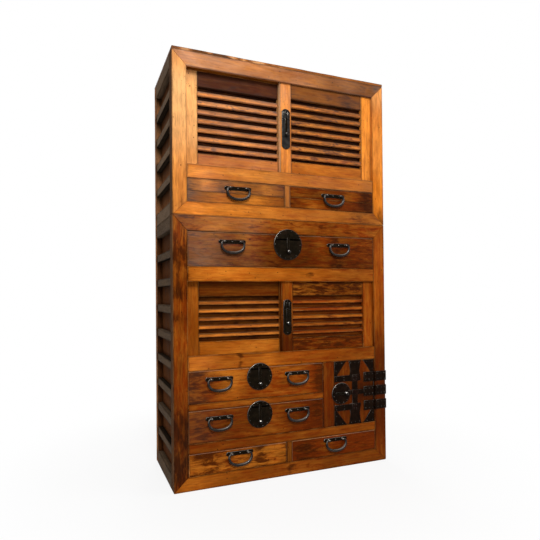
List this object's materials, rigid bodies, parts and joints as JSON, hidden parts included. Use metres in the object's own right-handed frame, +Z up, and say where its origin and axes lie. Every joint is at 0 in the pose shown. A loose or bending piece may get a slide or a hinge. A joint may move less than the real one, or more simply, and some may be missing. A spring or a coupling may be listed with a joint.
{
  "type": "choba tansu chest",
  "caption": "Two-case wooden merchant's chest with slatted sliding doors, drawers with iron bail pulls and lock plates, and a small iron-bound hinged safe.",
  "frame": {"origin": "middle of the base, on the floor", "axes": "+X to the right seen from the front, +Y to the back, +Z up"},
  "size_m": [0.9123, 0.3945, 1.6098],
  "materials": {
    "case_wood": "amber lacquer, worn",
    "side_wood": "dark stained, satin",
    "drawer_wood": "red-brown lacquer, streaked",
    "door_wood": "amber lacquer",
    "back_wood": "bare softwood",
    "iron": "blackened wrought iron"
  },
  "bodies": {
    "case": {"upper_left_side": "side_wood", "upper_right_side": "side_wood", "upper_top_frame": "case_wood", "upper_drawer_frame": "case_wood", "upper_back": "back_wood", "lower_left_side": "side_wood", "lower_right_side": "side_wood", "lower_top_frame": "case_wood", "lower_head_shelf": "case_wood", "lower_sill_shelf": "case_wood", "lower_drawer_frame": "case_wood", "lower_bottom_frame": "case_wood", "lower_back": "back_wood", "safe_top_hinge": "iron", "safe_middle_hinge": "iron", "safe_low_hinge": "iron"},
    "upper_left_drawer": {"upper_left_drawer": "drawer_wood", "upper_left_drawer_pull_plate": "iron"},
    "upper_left_drawer_pull_bail": {"upper_left_drawer_pull_bail": "iron"},
    "upper_right_drawer": {"upper_right_drawer": "drawer_wood", "upper_right_drawer_pull_plate": "iron"},
    "upper_right_drawer_pull_bail": {"upper_right_drawer_pull_bail": "iron"},
    "long_drawer": {"long_drawer": "drawer_wood", "long_drawer_left_pull_plate": "iron", "long_drawer_right_pull_plate": "iron", "long_drawer_lock_plate": "iron"},
    "long_drawer_left_pull_bail": {"long_drawer_left_pull_bail": "iron"},
    "long_drawer_right_pull_bail": {"long_drawer_right_pull_bail": "iron"},
    "long_drawer_lock_bolt": {"long_drawer_lock_bolt": "iron"},
    "lock_drawer_1": {"lock_drawer_1": "drawer_wood", "lock_drawer_1_left_pull_plate": "iron", "lock_drawer_1_right_pull_plate": "iron", "lock_drawer_1_lock_plate": "iron"},
    "lock_drawer_1_left_pull_bail": {"lock_drawer_1_left_pull_bail": "iron"},
    "lock_drawer_1_right_pull_bail": {"lock_drawer_1_right_pull_bail": "iron"},
    "lock_drawer_1_lock_bolt": {"lock_drawer_1_lock_bolt": "iron"},
    "lock_drawer_2": {"lock_drawer_2": "drawer_wood", "lock_drawer_2_left_pull_plate": "iron", "lock_drawer_2_right_pull_plate": "iron", "lock_drawer_2_lock_plate": "iron"},
    "lock_drawer_2_left_pull_bail": {"lock_drawer_2_left_pull_bail": "iron"},
    "lock_drawer_2_right_pull_bail": {"lock_drawer_2_right_pull_bail": "iron"},
    "lock_drawer_2_lock_bolt": {"lock_drawer_2_lock_bolt": "iron"},
    "bottom_left_drawer": {"bottom_left_drawer": "drawer_wood", "bottom_left_drawer_pull_plate": "iron"},
    "bottom_left_drawer_pull_bail": {"bottom_left_drawer_pull_bail": "iron"},
    "bottom_right_drawer": {"bottom_right_drawer": "drawer_wood", "bottom_right_drawer_pull_plate": "iron"},
    "bottom_right_drawer_pull_bail": {"bottom_right_drawer_pull_bail": "iron"},
    "upper_left_door": {"upper_left_door": "door_wood"},
    "upper_right_door": {"upper_right_door": "door_wood", "upper_door_lock_plate": "iron"},
    "upper_door_lock_bolt": {"upper_door_lock_bolt": "iron"},
    "lower_left_door": {"lower_left_door": "door_wood"},
    "lower_right_door": {"lower_right_door": "door_wood", "lower_door_lock_plate": "iron"},
    "lower_door_lock_bolt": {"lower_door_lock_bolt": "iron"},
    "safe_door": {"safe_door": "drawer_wood", "safe_ironwork": "iron"},
    "safe_bolt": {"safe_bolt": "iron"}
  },
  "joints": [
    {"name": "upper_left_drawer_slide", "type": "slide", "parent": "case", "child": "upper_left_drawer", "axis": [0, -1, 0], "range_m": [0, 0.27]},
    {"name": "upper_left_drawer_pull_bail_swing", "type": "hinge", "parent": "upper_left_drawer", "child": "upper_left_drawer_pull_bail", "pos_m": [-0.20625, -0.1975, 1.1093], "axis": [-1, 0, 0], "range_deg": [0, 110]},
    {"name": "upper_right_drawer_slide", "type": "slide", "parent": "case", "child": "upper_right_drawer", "axis": [0, -1, 0], "range_m": [0, 0.27]},
    {"name": "upper_right_drawer_pull_bail_swing", "type": "hinge", "parent": "upper_right_drawer", "child": "upper_right_drawer_pull_bail", "pos_m": [0.20625, -0.1975, 1.1093], "axis": [-1, 0, 0], "range_deg": [0, 110]},
    {"name": "long_drawer_slide", "type": "slide", "parent": "case", "child": "long_drawer", "axis": [0, -1, 0], "range_m": [0, 0.27]},
    {"name": "long_drawer_left_pull_bail_swing", "type": "hinge", "parent": "long_drawer", "child": "long_drawer_left_pull_bail", "pos_m": [-0.23, -0.1975, 0.90775], "axis": [-1, 0, 0], "range_deg": [0, 110]},
    {"name": "long_drawer_right_pull_bail_swing", "type": "hinge", "parent": "long_drawer", "child": "long_drawer_right_pull_bail", "pos_m": [0.23, -0.1975, 0.90775], "axis": [-1, 0, 0], "range_deg": [0, 110]},
    {"name": "long_drawer_lock_bolt_slide", "type": "slide", "parent": "long_drawer", "child": "long_drawer_lock_bolt", "axis": [0, 0, 1], "range_m": [0, 0.01]},
    {"name": "lock_drawer_1_slide", "type": "slide", "parent": "case", "child": "lock_drawer_1", "axis": [0, -1, 0], "range_m": [0, 0.27]},
    {"name": "lock_drawer_1_left_pull_bail_swing", "type": "hinge", "parent": "lock_drawer_1", "child": "lock_drawer_1_left_pull_bail", "pos_m": [-0.284, -0.1975, 0.398], "axis": [-1, 0, 0], "range_deg": [0, 110]},
    {"name": "lock_drawer_1_right_pull_bail_swing", "type": "hinge", "parent": "lock_drawer_1", "child": "lock_drawer_1_right_pull_bail", "pos_m": [0.036, -0.1975, 0.398], "axis": [-1, 0, 0], "range_deg": [0, 110]},
    {"name": "lock_drawer_1_lock_bolt_slide", "type": "slide", "parent": "lock_drawer_1", "child": "lock_drawer_1_lock_bolt", "axis": [0, 0, 1], "range_m": [0, 0.01]},
    {"name": "lock_drawer_2_slide", "type": "slide", "parent": "case", "child": "lock_drawer_2", "axis": [0, -1, 0], "range_m": [0, 0.27]},
    {"name": "lock_drawer_2_left_pull_bail_swing", "type": "hinge", "parent": "lock_drawer_2", "child": "lock_drawer_2_left_pull_bail", "pos_m": [-0.284, -0.1975, 0.254], "axis": [-1, 0, 0], "range_deg": [0, 110]},
    {"name": "lock_drawer_2_right_pull_bail_swing", "type": "hinge", "parent": "lock_drawer_2", "child": "lock_drawer_2_right_pull_bail", "pos_m": [0.036, -0.1975, 0.254], "axis": [-1, 0, 0], "range_deg": [0, 110]},
    {"name": "lock_drawer_2_lock_bolt_slide", "type": "slide", "parent": "lock_drawer_2", "child": "lock_drawer_2_lock_bolt", "axis": [0, 0, 1], "range_m": [0, 0.01]},
    {"name": "bottom_left_drawer_slide", "type": "slide", "parent": "case", "child": "bottom_left_drawer", "axis": [0, -1, 0], "range_m": [0, 0.27]},
    {"name": "bottom_left_drawer_pull_bail_swing", "type": "hinge", "parent": "bottom_left_drawer", "child": "bottom_left_drawer_pull_bail", "pos_m": [-0.20625, -0.1975, 0.11575], "axis": [-1, 0, 0], "range_deg": [0, 110]},
    {"name": "bottom_right_drawer_slide", "type": "slide", "parent": "case", "child": "bottom_right_drawer", "axis": [0, -1, 0], "range_m": [0, 0.27]},
    {"name": "bottom_right_drawer_pull_bail_swing", "type": "hinge", "parent": "bottom_right_drawer", "child": "bottom_right_drawer_pull_bail", "pos_m": [0.20625, -0.1975, 0.11575], "axis": [-1, 0, 0], "range_deg": [0, 110]},
    {"name": "upper_left_door_slide", "type": "slide", "parent": "case", "child": "upper_left_door", "axis": [1, 0, 0], "range_m": [0, 0.377]},
    {"name": "upper_right_door_slide", "type": "slide", "parent": "case", "child": "upper_right_door", "axis": [-1, 0, 0], "range_m": [0, 0.377]},
    {"name": "upper_door_lock_bolt_slide", "type": "slide", "parent": "upper_right_door", "child": "upper_door_lock_bolt", "axis": [0, 0, 1], "range_m": [0, 0.01]},
    {"name": "lower_left_door_slide", "type": "slide", "parent": "case", "child": "lower_left_door", "axis": [1, 0, 0], "range_m": [0, 0.377]},
    {"name": "lower_right_door_slide", "type": "slide", "parent": "case", "child": "lower_right_door", "axis": [-1, 0, 0], "range_m": [0, 0.377]},
    {"name": "lower_door_lock_bolt_slide", "type": "slide", "parent": "lower_right_door", "child": "lower_door_lock_bolt", "axis": [0, 0, 1], "range_m": [0, 0.01]},
    {"name": "safe_door_hinge", "type": "hinge", "parent": "case", "child": "safe_door", "pos_m": [0.4015, -0.193, 0.3], "axis": [0, 0, 1], "range_deg": [0, 105]},
    {"name": "safe_bolt_slide", "type": "slide", "parent": "safe_door", "child": "safe_bolt", "axis": [-1, 0, 0], "range_m": [0, 0.01]}
  ]
}
